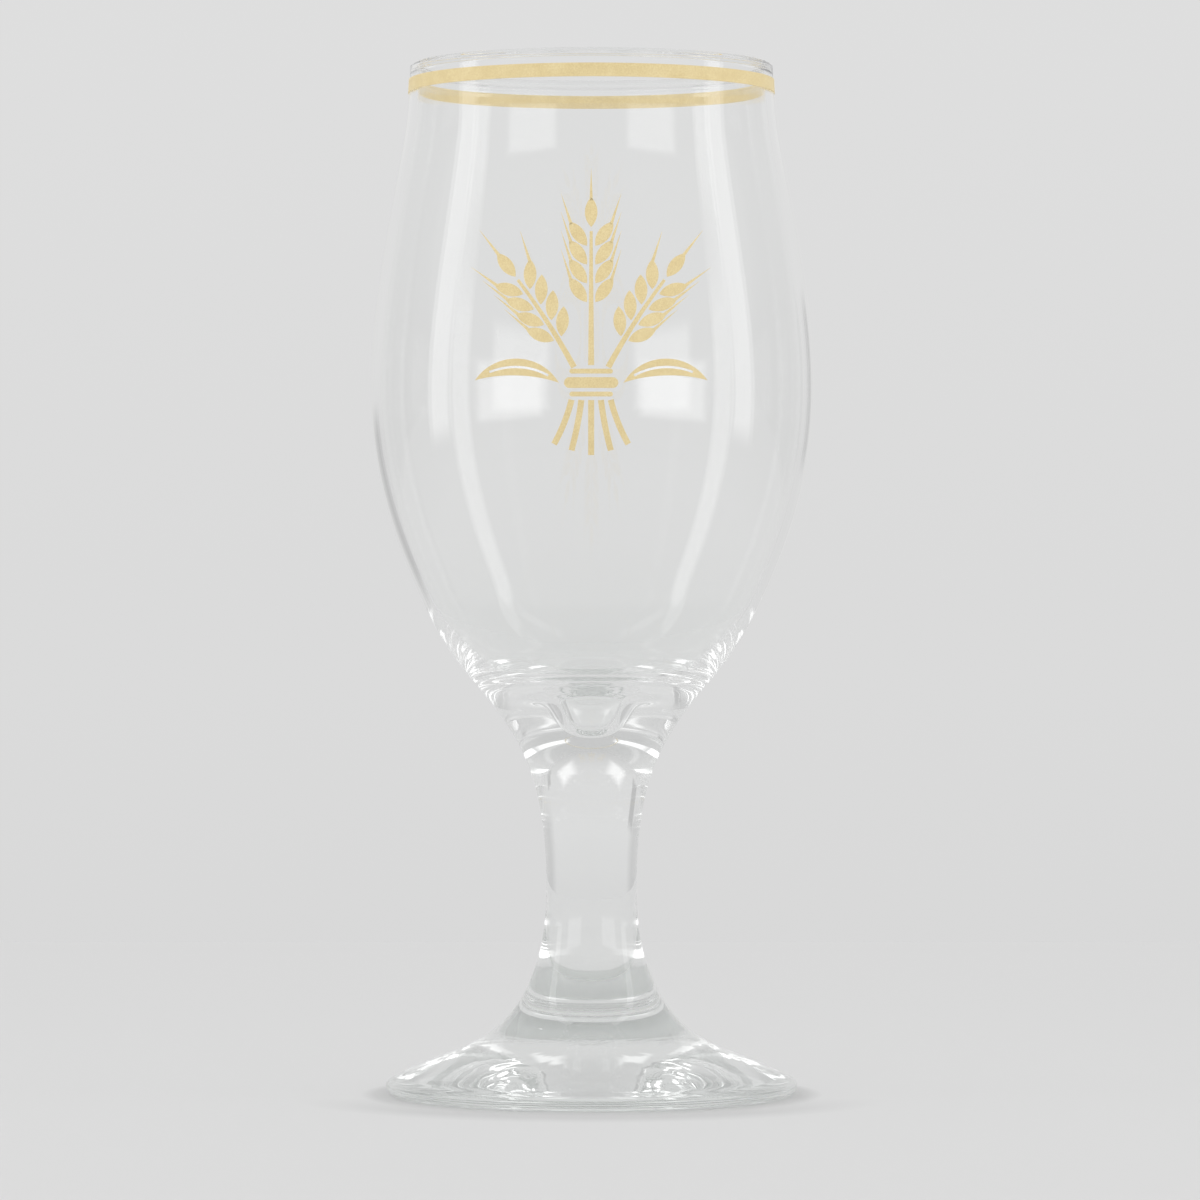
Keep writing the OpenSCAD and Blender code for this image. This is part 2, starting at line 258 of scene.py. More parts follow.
# %% A signal in a shader
class Signal:
    """One output socket of a node tree. + - * / on signals and numbers add Math nodes."""

    def __init__(self, tree, socket=None):
        self.tree = tree
        self.socket = socket

    def node(self, kind, settings=None, inputs=None, output=0):
        """Adds a node. Its settings come first, then its inputs: numbers, colours or signals."""
        made = self.tree.nodes.new(kind)
        for key, value in (settings or {}).items():
            if key == "stops":
                ramp = made.color_ramp.elements
                while len(ramp) < len(value):
                    ramp.new(0.5)
                for stop, (place, colour) in zip(ramp, value):
                    stop.position, stop.color = place, colour
            else:
                setattr(made, key, value)
        for key, value in (inputs or {}).items():
            if isinstance(value, Signal):
                self.tree.links.new(value.socket, made.inputs[key])
            else:
                made.inputs[key].default_value = value
        return Signal(self.tree, made.outputs[output] if made.outputs else None)

    def maths(self, operation, *values):
        """A Math node on these values."""
        return self.node("ShaderNodeMath", {"operation": operation}, dict(enumerate(values)))

    def axis(self, name):
        """One coordinate of a vector."""
        return self.node("ShaderNodeSeparateXYZ", inputs={"Vector": self}, output=name)

    def level(self):
        """A vector without its height."""
        return self.node("ShaderNodeVectorMath", {"operation": "MULTIPLY"}, {0: self, 1: (1, 1, 0)})

    def length(self):
        """How long a vector is."""
        return self.node("ShaderNodeVectorMath", {"operation": "LENGTH"}, {0: self}, "Value")

    def mapped(self, start, end, first=0, last=1, smooth=False):
        """Goes from first to last, and no further, while this signal goes from start to end."""
        kind = "SMOOTHSTEP" if smooth else "LINEAR"
        return self.node("ShaderNodeMapRange", {"interpolation_type": kind}, {
            "Value": self, "From Min": start, "From Max": end, "To Min": first, "To Max": last})

    def __add__(self, other):
        return self.maths("ADD", self, other)

    def __radd__(self, other):
        return self.maths("ADD", other, self)

    def __sub__(self, other):
        return self.maths("SUBTRACT", self, other)

    def __rsub__(self, other):
        return self.maths("SUBTRACT", other, self)

    def __mul__(self, other):
        return self.maths("MULTIPLY", self, other)

    def __rmul__(self, other):
        return self.maths("MULTIPLY", other, self)

    def __truediv__(self, other):
        return self.maths("DIVIDE", self, other)


def blank(name):
    """A new material with an empty tree, and a signal to build it from."""
    material = bpy.data.materials.new(name)
    material.use_nodes = True
    material.node_tree.nodes.clear()
    return material, Signal(material.node_tree)


def grey(shade):
    """An opaque grey, as a colour."""
    return shade, shade, shade, 1


# %% [markdown]
# ## Clear glass
#
# The real glass is soda glass: clear, with a trace of grey-green, and polished by the flame. Light
# inside it is bent by an index of 1.52 and bounces many times in the thick floor, the stem and the
# foot. The trace of colour shows only where the glass is thick. A surface cannot know how thick the
# glass behind it is, but on a turned piece the height tells: the wall has no colour, the stem a
# little and the foot the most. The three pieces of glass meet on flat joints that were fused hot,
# so no joint may show. Their flat faces are there, to keep each piece closed, but they are fully
# transparent.

# %% Glass and its fused joints
TINT = [
    (0, (0.86, 0.885, 0.87, 1)),
    (3.2, (0.88, 0.90, 0.89, 1)),
    (6, (0.925, 0.940, 0.930, 1)),
    (20, (0.950, 0.962, 0.955, 1)),
    (34, (0.975, 0.982, 0.979, 1)),
    (60, (0.975, 0.982, 0.979, 1)),
    (80, (0.985, 0.992, 0.988, 1)),
    (95, (0.997, 1.000, 0.998, 1))]
INDEX = 1.52
UNEVEN_H = 0.04


def clear_glass(name, unevenness=None):
    """Smooth refracting glass, with a tint that follows the height, given at heights in mm.

    unevenness takes the tree and gives the height of a bump, in shares of UNEVEN_H.
    """
    material, tree = blank(name)
    z = tree.node("ShaderNodeTexCoord", output="Object").axis("Z")
    top = TINT[-1][0]
    colour = tree.node("ShaderNodeValToRGB", {
        "stops": [(height / top, tint) for height, tint in TINT]}, {"Fac": z / (top * MM)})
    inputs = {"Base Color": colour, "Transmission Weight": 1, "Roughness": 0, "IOR": INDEX}
    if unevenness:
        inputs["Normal"] = tree.node("ShaderNodeBump", inputs={
            "Height": unevenness(tree), "Distance": UNEVEN_H * MM})
    surface = tree.node("ShaderNodeBsdfPrincipled", inputs=inputs)
    tree.node("ShaderNodeOutputMaterial", inputs={"Surface": surface})
    return material


def fused_joint():
    """The flat face where two pieces of glass were fused: nothing is seen of it."""
    material, tree = blank("fused_joint")
    surface = tree.node("ShaderNodeBsdfPrincipled", inputs={"Alpha": 0})
    tree.node("ShaderNodeOutputMaterial", inputs={"Surface": surface})
    return material


GLASS = clear_glass("clear_glass")
JOINT = fused_joint()
print("nodes in the glass: %d, in the joint: %d"
      % (len(GLASS.node_tree.nodes), len(JOINT.node_tree.nodes)))


def dress_glass(piece, node, joint_heights, glass=GLASS):
    """Glass all over, apart from the flat faces at the joints."""
    nearly_upright, same_m = 0.999, 1e-6
    mesh = piece.data
    mesh.materials.append(glass)
    mesh.materials.append(JOINT)
    middles = np.empty(len(mesh.polygons) * 3)
    mesh.polygons.foreach_get("center", middles)
    facing = np.empty(len(mesh.polygons) * 3)
    mesh.polygons.foreach_get("normal", facing)
    height, flat = middles[2::3], np.abs(facing[2::3]) > nearly_upright
    on_joint = np.isclose(height[:, None], np.array(joint_heights) * MM, atol=same_m).any(1) & flat
    mesh.polygons.foreach_set("material_index", on_joint.astype(np.int32))
    mesh.update()
    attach(piece, "root")
    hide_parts(node)
    print("%s: %d faces of %d are on a fused joint" % (node, on_joint.sum(), len(on_joint)))


# %% [markdown]
# ## The foot
#
# The foot was pressed while soft: a trumpet that runs out into a rounded edge. It stands on a
# narrow flat ring, and the underside inside the ring rises in a very shallow hollow, which keeps
# the glass from rocking. Light that enters the foot runs along that hollow and shows it as bright
# and dark rings. The press left the hollow a little uneven, more so round it than outwards, and
# this breaks the rings up into arcs.

# %% Foot
rest_out_r = foot_r - 3
rest_in_r = rest_out_r - 1.6
hollow_h = 0.8
edge_turn, skirt_turn = 151, 158
round_detail, outward_detail, hollow_room = 4, 60, 0.3


def foot_profile():
    """From the hollow's middle, out under the foot, round its edge and up to the joint."""
    share = np.linspace(0, 1, 25)
    hollow = np.stack([rest_in_r * share, hollow_h * (1 - share**2)], 1)
    edge, edge_top = (foot_r, 1.5), (foot_r - 2.4, 3.4)
    skirt, joint = (foot_r - 12.2, 7.6), (foot_joint_r, foot_h)
    joint_angle = 90 - math.degrees(math.atan(SIDE[0, 2]))
    return joined(
        hollow,
        sweep((rest_out_r, 0), 0, edge, 90, 0.6, 0.35, 14),
        sweep(edge, 90, edge_top, edge_turn, 0.35, 0.5, 12),
        sweep(edge_top, edge_turn, skirt, skirt_turn, 0.39, 0.32, 20),
        sweep(skirt, skirt_turn, joint, joint_angle, 0.43, 0.38, 40),
        [[0, foot_h]])


def pressed(tree):
    """Unevenness of the hollow, and of nothing else: noise at (x, y) / r + d (x, y), in metres.

    The first term changes only round the axis. The second, with d the outward detail, also
    changes outwards.
    """
    place = tree.node("ShaderNodeTexCoord", output="Object")
    flat = place.level()
    way = tree.node("ShaderNodeVectorMath", {"operation": "NORMALIZE"}, {0: flat})
    spot = tree.node("ShaderNodeVectorMath", {"operation": "MULTIPLY_ADD"}, {
        0: flat, 1: (outward_detail, outward_detail, 0), 2: way})
    noise = tree.node("ShaderNodeTexNoise", inputs={
        "Vector": spot, "Scale": round_detail, "Detail": 0}, output="Fac")
    inside = tree.maths("LESS_THAN", place.axis("Z"), (hollow_h + hollow_room) * MM)
    return noise * inside * tree.maths("LESS_THAN", flat.length(), rest_in_r * MM)


points = foot_profile()
corner = len(points) - 2
ring_start = int(np.argmin(np.abs(points[:corner, 0] - rest_in_r) + points[:corner, 1]))
foot = lathe("foot_glass", points, [ring_start, corner])
dress_glass(foot, "foot", [foot_h], clear_glass("pressed_glass", pressed))


# %% [markdown]
# ## The stem
#
# A short, solid, waisted rod. It has only its side and its two joints.

# %% Stem
points = joined([[0, foot_h]], outside(foot_h, bowl_z, 0.5), [[0, bowl_z]])
stem = lathe("stem_glass", points, [1, len(points) - 2])
dress_glass(stem, "stem", [foot_h, bowl_z])


# %% [markdown]
# ## The bowl
#
# The wall is thin and even down to the shoulder of the cavity. Below it the glass thickens fast, to
# a heavy floor that is nearly level, with a small well in its middle where the stem drew the soft
# glass down. These thick places are what sparkles in the photograph, so their shape matters more
# than anything else here. The rim is a half-round bead, as the flame leaves it.

# %% Bowl
wall_t = 1.55
corner_z = bowl_z + 20
corner_t = 3
taper_h = 10
level_r, level_down, level_turn = 16, 2.9, 186
well_r, well_down, well_turn = 5.5, 4.3, 245
floor_t = 8.8


def wall_level(z):
    """Thickness of the even wall measured level: the thickness times sqrt(1 + lean^2)."""
    return wall_t * np.sqrt(1 + side(z)[1] ** 2)


def inside_r(z):
    """Radius of the cavity: the side, less the wall, less k^2 times the corner's extra glass."""
    k = np.clip(1 - (z - corner_z) / taper_h, 0, 1)
    return side(z)[0] - wall_level(z) - (corner_t - wall_level(corner_z)) * k**2


def floor_run():
    """From the cavity's corner down and in to the bottom of the well."""
    corner = (float(inside_r(corner_z)), corner_z)
    step = 0.4
    corner_lean = float(inside_r(corner_z + step) - corner[0]) / step
    corner_angle = 270 - math.degrees(math.atan(corner_lean))
    level, well = (level_r, corner_z - level_down), (well_r, corner_z - well_down)
    return joined(
        sweep(corner, corner_angle, level, level_turn, 0.4, 0.4, 20),
        sweep(level, level_turn, well, well_turn, 0.4, 0.3, 18),
        sweep(well, well_turn, (0, bowl_z + floor_t), 180, 0.4, 0.4, 22))


def bowl_profile():
    """From the joint's middle up the outside, over the rim and down the cavity to its floor."""
    bead_r = wall_t / 2
    bead = np.array([SIDE[-1, 1] - bead_r, rim_z - bead_r])
    turn = np.linspace(0, np.pi, 17)[:, None]
    inner_z = heights(corner_z, bead[1], 1.2)[::-1]
    return joined(
        [[0, bowl_z]],
        outside(bowl_z, bead[1], 1.1),
        bead + bead_r * np.hstack([np.cos(turn), np.sin(turn)]),
        np.stack([inside_r(inner_z), inner_z], 1),
        floor_run())


bowl = lathe("bowl_glass", bowl_profile(), [1])
dress_glass(bowl, "bowl", [bowl_z])


# %% [markdown]
# ## Fired gold
#
# The gold is a pale enamel, screen printed and fired on. It is satin rather than metallic, with a
# fine speckle, and it lies on the glass as a skin a tenth of a millimetre thick. A shape is drawn
# flat, as a grid of points, and is then laid on the bowl: a point keeps its place as seen from the
# front, and takes its depth from the side's radius. A Solidify modifier gives the skin its
# thickness.

# %% Gold
speckle_scale, cloud_scale, speckle_share = 4200, 420, 0.7
speckle_h = 0.05


def fired_gold():
    """Satin pale gold with a fine speckle in its colour and its gloss."""
    material, tree = blank("fired_gold")
    place = tree.node("ShaderNodeTexCoord", output="Object")
    speckle = tree.node("ShaderNodeTexNoise", inputs={
        "Vector": place, "Scale": speckle_scale, "Detail": 2, "Roughness": 0.6}, output="Fac")
    cloud = tree.node("ShaderNodeTexNoise", inputs={
        "Vector": place, "Scale": cloud_scale, "Detail": 2}, output="Fac")
    mix = speckle_share * speckle + (1 - speckle_share) * cloud
    colour = tree.node("ShaderNodeValToRGB", {"stops": [
        (0.36, (0.74, 0.59, 0.30, 1)),
        (0.50, (0.80, 0.65, 0.34, 1)),
        (0.64, (0.86, 0.72, 0.41, 1))]}, {"Fac": mix})
    bump = tree.node("ShaderNodeBump", inputs={
        "Height": speckle, "Strength": 0.15, "Distance": speckle_h * MM})
    surface = tree.node("ShaderNodeBsdfPrincipled", inputs={
        "Base Color": colour,
        "Roughness": 0.36 + 0.2 * speckle,
        "Specular IOR Level": 0.45,
        "Normal": bump})
    tree.node("ShaderNodeOutputMaterial", inputs={"Surface": surface})
    return material


GOLD = fired_gold()
gold_gap = 0.03
gold_t = 0.1
print("the gold lies from %.2f to %.2f mm off the glass" % (gold_gap, gold_gap + gold_t))


def skin(name, node, grids):
    """One piece of fired gold from several grids of points, each an array of rows of (x, y, z).

    A grid may come with a mask of its cells, and a cell that the mask leaves out has no face.
    """
    vertices, faces = [], []
    count = 0
    for grid, kept in grids:
        rows, columns = grid.shape[:2]
        ids = count + np.arange(rows * columns).reshape(rows, columns)
        cells = np.stack([ids[:-1, :-1], ids[:-1, 1:], ids[1:, 1:], ids[1:, :-1]], -1)
        faces += cells[kept].tolist()
        vertices += (grid.reshape(-1, 3) * MM).tolist()
        count += rows * columns
    mesh = bpy.data.meshes.new(name)
    mesh.from_pydata(vertices, [], faces)
    mesh.materials.append(GOLD)
    piece = linked(name, mesh)
    thick = piece.modifiers.new("fired thickness", "SOLIDIFY")
    thick.thickness = gold_t * MM
    thick.offset = 1
    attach(piece, "root")
    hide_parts(node)
    print("%s: %d faces" % (name, len(faces)))
    return piece


def whole(grid):
    """A grid with every cell kept."""
    return grid, np.ones((grid.shape[0] - 1, grid.shape[1] - 1), bool)


# %% [markdown]
# ## The gold line
#
# One plain line runs right round, just below the rim. Its grid goes round the axis and up the side,
# and its first column is its last, so the ends are merged.

# %% Gold line
line_low, line_high = low("rim_line"), high("rim_line")


def line_grid(columns=320, rows=6):
    """Point (a, z) of the line is (r cos a, r sin a, z), with r the side's radius and the gap."""
    a = np.linspace(0, 2 * np.pi, columns + 1)
    z = np.linspace(line_low, line_high, rows)[:, None]
    r = side(z)[0] + gold_gap
    return np.stack([r * np.cos(a), r * np.sin(a), z + 0 * a], -1)


rim_line = skin("rim_line_gold", "rim_line", [whole(line_grid())])
same_m = 1e-6
weld = rim_line.modifiers.new("closed ring", "WELD")
weld.merge_threshold = same_m
rim_line.modifiers.move(1, 0)


# %% [markdown]
# ## Drawing the sheaf
#
# The sheaf is a common harvest ornament: three ears of barley, two leaves and a few cut stalks,
# gathered by a tie. Every form in it is a band: a line that turns evenly as it rises, with a width
# that changes along it. A grain is a band as wide as two arcs that meet in points, an awn tapers
# to nothing, a leaf swells and thins again.

# %% Bands
ACROSS = 4


def bent(s, lean, turn, length):
    """Place (x, up) and direction at distances s along a line that turns evenly as it rises.

    With a the lean so far and q the turn for each millimetre, in radians, the place is
    ((cos lean - cos a) / q, (sin a - sin lean) / q), or a straight line where nothing turns.
    """
    a0, q = math.radians(lean), math.radians(turn) / length
    a = a0 + q * s
    if q == 0:
        return np.stack([s * np.sin(a), s * np.cos(a)], -1), a
    return np.stack([np.cos(a0) - np.cos(a), np.sin(a) - np.sin(a0)], -1) / q, a


def band(s, half, lean=0, turn=0, length=1, across=np.linspace(-1, 1, ACROSS + 1)):
    """Flat grid of a band: the line's point, plus each share across times half the width."""
    line, a = bent(s, lean, turn, length)
    square_on = np.stack([np.cos(a), -np.sin(a)], -1)
    return line[:, None] + (half[:, None] * across)[..., None] * square_on[:, None]


def placed(grid, at=(0, 0), turned=0):
    """A flat grid turned counterclockwise by degrees about the origin, then moved."""
    c, s = math.cos(math.radians(turned)), math.sin(math.radians(turned))
    x, up = grid[..., 0], grid[..., 1]
    return np.stack([c * x - s * up + at[0], s * x + c * up + at[1]], -1)


def flipped(grid, axis):
    """The mirror image along an axis, with its columns reversed so that it still faces front."""
    out = grid.copy()
    out[..., axis] *= -1
    return out[:, ::-1]


print("a line that turns 90 degrees over 10 mm ends at:", bent(10, 0, 90, 10)[0].round(2).tolist())


# %% Laid on the bowl
tie_z = (low("sheaf_tie") + high("sheaf_tie")) / 2


def laid(grid, kept=None):
    """A flat grid on the bowl's front: (x, up) goes to (x, -sqrt(r^2 - x^2), tie_z + up)."""
    x, z = grid[..., 0], tie_z + grid[..., 1]
    r = side(z)[0] + gold_gap
    on_bowl = np.stack([x, -np.sqrt(r**2 - x**2), z], -1)
    return whole(on_bowl) if kept is None else (on_bowl, kept)


print("the tie's middle is %.2f mm above the table" % tie_z)


# %% [markdown]
# ## The ears
#
# Each ear has a stem that thins to a spine, four pairs of grains and one grain at the tip. The
# awns, the long bristles, grow from the outer grains only, so that neighbouring ears stay apart.

# %% Grain and awn
grain_l, grain_w, grain_pitch, grain_out = 5, 2.1, 3.15, 0.7
grain_pairs, grain_tilt = 4, 36
awn_l, awn_w, awn_tilt = 5.5, 0.55, 18
blunt = 0.03


def grain(awn_turn, has_awn):
    """Grids of one grain that points up, and of its awn.

    The grain is bounded by two arcs of radius R = (l^2 + w^2) / 4w, so at a distance d from its
    middle it is half as wide as sqrt(R^2 - d^2) - (R - w / 2).
    """
    s = grain_l * (1 - np.cos(np.linspace(0, np.pi, 15))) / 2
    arc_r = (grain_l**2 + grain_w**2) / (4 * grain_w)
    half = np.sqrt(arc_r**2 - (s - grain_l / 2) ** 2) - (arc_r - grain_w / 2)
    grids = [band(s, np.maximum(half, blunt / 2))]
    if has_awn:
        s = np.linspace(0, awn_l, 9)
        half = np.maximum(awn_w / 2 * (1 - s / awn_l), blunt / 2)
        grids.append(placed(band(s, half), (0, grain_l - awn_w), awn_turn))
    return grids


print("a grain and its awn are %.1f mm long" % (grain_l - awn_w + awn_l))


# %% Ear
tie_w, tie_edge_w, tie_gap, tie_l = 1.8, 0.8, 0.6, 9
ear_root = tie_w / 2 + tie_gap + tie_edge_w + tie_gap
stalk_w, spine_w = 1, 0.5


def ear(lean, turn, bare_l, inner):
    """Grids of an ear: its stem, pairs of grains along it, and the grain at its tip."""
    ear_l = bare_l + grain_pitch * grain_pairs
    s = np.linspace(ear_root, ear_l - grain_out, 25)
    share = np.linspace(0, 1, len(s))
    grids = [band(s, (stalk_w - (stalk_w - spine_w) * share) / 2, lean, turn, ear_l)]
    for pair in range(grain_pairs):
        at, a = bent(bare_l + grain_pitch * pair, lean, turn, ear_l)
        for hand in (-1, 1):
            has_awn = hand != inner or pair == grain_pairs - 1
            for grid in grain(hand * awn_tilt, has_awn):
                leant = placed(placed(grid, turned=-hand * grain_tilt), (hand * grain_out, 0))
                grids.append(placed(leant, at, -math.degrees(a)))
    at, a = bent(ear_l, lean, turn, ear_l)
    return grids + [placed(grid, at, -math.degrees(a)) for grid in grain(0, True)]


ear_lean, ear_turn, root_out = 27, 10, tie_l / 6
side_bare_l, middle_bare_l = 8.4, 13.4
for word, hand, bare_l in (("left", -1, side_bare_l), ("middle", 0, middle_bare_l),
                           ("right", 1, side_bare_l)):
    grids = ear(hand * ear_lean, hand * ear_turn, bare_l, -hand)
    skin("ear_%s_gold" % word, "sheaf_ear_" + word,
         [laid(placed(grid, (hand * root_out, 0))) for grid in grids])


# %% [markdown]
# ## Leaves, stalks and tie
#
# A leaf has a clear line along its middle. Its grid has one narrow column there, and the cells of
# that column are left out over most of the leaf's length. The stalks hang below the tie, and the
# tie is three stripes with round ends, the broad one between the narrow ones.

# %% Leaves
leaf_l, leaf_w, leaf_lean, leaf_turn = 15, 2.8, 50, 75
rib_w, rib_from_share, rib_to_share = 0.4, 0.14, 0.82
leaf_out = tie_l / 2 + tie_gap * 1.5


def leaf():
    """Flat grid of the right-hand leaf, half as wide as 2 w t (1 - t), and its kept cells."""
    t = np.unique(np.concatenate([np.linspace(0, 1, 41), [rib_from_share, rib_to_share]]))
    half = np.maximum(leaf_w / 2 * 4 * t * (1 - t), blunt / 2)
    rib = np.minimum(rib_w / 2 / half, 0.5)
    outer = np.array([-1, -0.5, 0.5, 1])
    share = outer * (1 - rib[:, None]) + np.sign(outer) * rib[:, None]
    share = np.stack([share[:, 0], (share[:, 0] - rib) / 2, -rib, rib,
                      (share[:, 3] + rib) / 2, share[:, 3]], 1)
    line, a = bent(leaf_l * t, leaf_lean, leaf_turn, leaf_l)
    square_on = np.stack([np.cos(a), -np.sin(a)], -1)
    grid = line[:, None] + (half[:, None] * share)[..., None] * square_on[:, None]
    kept = np.ones((len(t) - 1, 5), bool)
    slack = 1e-9
    kept[(t[:-1] >= rib_from_share - slack) & (t[1:] <= rib_to_share + slack), 2] = False
    return placed(grid, (leaf_out, 0)), kept


grid, kept = leaf()
skin("leaves_gold", "sheaf_leaves", [laid(grid, kept), laid(flipped(grid, 0), kept[:, ::-1])])


# %% Stalks
stalk_l, stalk_pitch, stalk_pairs, stalk_lean, stalk_turn = 12, 1.35, 2, 4, 12


def stalk(k):
    """Flat grid of one stalk: drawn upwards, moved out by its place, then turned upside down."""
    s = np.linspace(ear_root, stalk_l - abs(k) * tie_gap, 13)
    up = band(s, np.full(len(s), stalk_w / 2), k * stalk_lean, k * stalk_turn, stalk_l)
    return flipped(placed(up, (k * stalk_pitch, 0)), 1)


stalks = [stalk(k) for k in range(-stalk_pairs, stalk_pairs + 1)]
skin("stalks_gold", "sheaf_stalks", [laid(grid) for grid in stalks])


# %% Tie
def stripe(length, width, up):
    """Flat grid of a stripe with round ends, drawn across: half as wide as its end arcs allow."""
    end = width / 2
    arc = end * (1 - np.cos(np.linspace(0, np.pi / 2, 9)))
    s = np.concatenate([arc, np.linspace(end, length - end, 17)[1:-1], length - arc[::-1]])
    from_end = np.minimum(np.minimum(s, length - s), end)
    half = np.maximum(np.sqrt(end**2 - (end - from_end) ** 2), blunt / 2)
    return placed(band(s - length / 2, half), (0, up), -90)


edge_up = tie_w / 2 + tie_gap + tie_edge_w / 2
stripes = [stripe(tie_l, tie_w, 0)]
stripes += [stripe(tie_l - tie_w, tie_edge_w, up) for up in (edge_up, -edge_up)]
skin("tie_gold", "sheaf_tie", [laid(grid) for grid in stripes])


# %% [markdown]
# ## The table and the light
#
# The photograph was taken in a white tent: the same pale grey lies behind, above, beside and in
# front of the glass, so the horizon vanishes. A flat pale table does the same under a world of its
# own shade. The table ends 0.42 m behind the glass, where the tent's back wall begins, and a
# painted brightening makes its colour a trace paler towards it. The glass stands a hair above the
# table, since two faces in one plane would hide each other by turns. The soft shade under the foot
# and in front of it is painted on the table, by the distance from the axis, because light that has
# come through glass on to a table is what a renderer finds last.
#
# The world lights the table and the gold at full white, but what the camera, reflections and
# refraction see of it is the pale grey of the tent, darker in the ceiling and in the back corners.

# %% Table
TENT = 0.708
# TABLE_PAINTED_RISE is painted light: the table's colour grows paler towards the back by this much
# per metre.
TABLE, TABLE_PAINTED_RISE, RISE_FROM = 0.664, 0.03, -0.3
# Painted shade under the foot and painted shadow in front of it, as (mm from the axis, share of the
# table's tone kept).
PAINTED_SHADE_UNDER = [(0, 0.97), (20, 0.97), (30.5, 1), (31.2, 0.94), (33.5, 0.93), (34.5, 0.85),
         (37.5, 0.85), (40, 1)]
PAINTED_SHADOW_AHEAD = [(37, 1), (39.5, 0.86), (45, 0.87), (49, 0.94), (53, 1)]
TABLE_GLOW = 0.25
air_gap, table_back = 0.03, 0.42


def seen_ray(tree):
    """1 on a ray from the camera, or one that gloss or glass sent on, and else 0."""
    seen = tree.node("ShaderNodeLightPath", output="Is Camera Ray")
    for ray in ("Is Glossy Ray", "Is Transmission Ray"):
        seen = tree.maths("MAXIMUM", seen, tree.node("ShaderNodeLightPath", output=ray))
    return seen


def by_distance(tree, place, stops):
    """A share that follows the distance from the axis, given as (mm, share)."""
    far = stops[-1][0]
    return tree.node("ShaderNodeValToRGB", {
        "stops": [(away / far, grey(share)) for away, share in stops]},
        {"Fac": place.level().length() / (far * MM)})


def painted_shade_under_glass(tree, place):
    """Painted shade under the foot and painted shadow in front of it: the share of its tone that the
    table keeps, less near the resting ring and in front.
    """
    front = place.axis("Y").mapped(-foot_r * MM, -foot_r / 4 * MM, 1, 0)
    ahead = 1 - front * (1 - by_distance(tree, place, PAINTED_SHADOW_AHEAD))
    return by_distance(tree, place, PAINTED_SHADE_UNDER) * ahead


def table_with_painted_shade():
    """Matt pale grey without gloss, with painted shade under the foot and painted shadow in front of
    it. A share of what is seen of it glows with the tent's own shade.
    """
    material, tree = blank("table")
    place = tree.node("ShaderNodeTexCoord", output="Object")
    # pale is the table's grey with the painted brightening towards the back.
    pale = TABLE + TABLE_PAINTED_RISE * tree.maths("MAXIMUM", place.axis("Y"), RISE_FROM)
    shaded = pale * painted_shade_under_glass(tree, place)
    matt = tree.node("ShaderNodeBsdfPrincipled", inputs={
        "Base Color": shaded,
        "Roughness": 1,
        "Specular IOR Level": 0})
    shade = tree.node("ShaderNodeEmission", inputs={"Color": shaded + (TENT - TABLE)})
    surface = tree.node("ShaderNodeMixShader", inputs={
        "Fac": TABLE_GLOW * seen_ray(tree), 1: matt, 2: shade})
    tree.node("ShaderNodeOutputMaterial", inputs={"Surface": surface})
    return material


def flat_piece(name, corners, material):
    """One quad with this material, as a piece of the stage."""
    mesh = bpy.data.meshes.new(name)
    mesh.from_pydata(corners, [], [(0, 1, 2, 3)])
    mesh.uv_layers.new().data.foreach_set("uv", [0, 0, 1, 0, 1, 1, 0, 1])
    mesh.materials.append(material)
    piece = linked(name, mesh)
    return piece


reach, table_z = 40, -air_gap * MM
flat_piece("table", [(-reach, -reach, table_z), (reach, -reach, table_z),
                     (reach, table_back, table_z), (-reach, table_back, table_z)], table_with_painted_shade())
print("the table ends %.0f mm behind the glass" % (table_back / MM))


# %% World
WALLS = [(-0.065, 0.69), (-0.015, TENT), (0.0, TENT), (0.1, 0.733), (0.45, 0.72), (0.85, 0.58)]
CORNER = 0.2
ASIDE, STEEP, BEHIND = (0.62, 0.78), (0.15, 0.35), (-0.45, 0.15)


def tent_world():
    """Full white for diffuse light. What is seen is the tent's grey, by how steeply a ray rises."""
    world = bpy.data.worlds.new("tent")
    world.use_nodes = True
    world.node_tree.nodes.clear()
    tree = Signal(world.node_tree)
    seen = seen_ray(tree) - tree.node("ShaderNodeLightPath", output="Diffuse Depth")
    way = tree.node("ShaderNodeTexCoord", output="Generated")
    up = way.axis("Z")
    ramp = tree.node("ShaderNodeValToRGB", {
        "stops": [((1 + rise) / 2, grey(shade)) for rise, shade in WALLS]}, {"Fac": 0.5 * up + 0.5})
    light = tree.node("ShaderNodeBackground", inputs={"Color": grey(1)})
    aside = tree.maths("ABSOLUTE", way.axis("X")).mapped(*ASIDE)
    level = tree.maths("ABSOLUTE", up).mapped(*STEEP, 1, 0)
    corner = aside * level * way.axis("Y").mapped(*BEHIND, smooth=True)
    shade = tree.node("ShaderNodeBackground", inputs={
        "Color": ramp, "Strength": 1 - CORNER * corner})
    surface = tree.node("ShaderNodeMixShader", inputs={"Fac": seen, 1: light, 2: shade})
    tree.node("ShaderNodeOutputWorld", inputs={"Surface": surface})
    return world


bpy.context.scene.world = tent_world()
print("shade of the walls, by how steeply a ray rises:", WALLS)
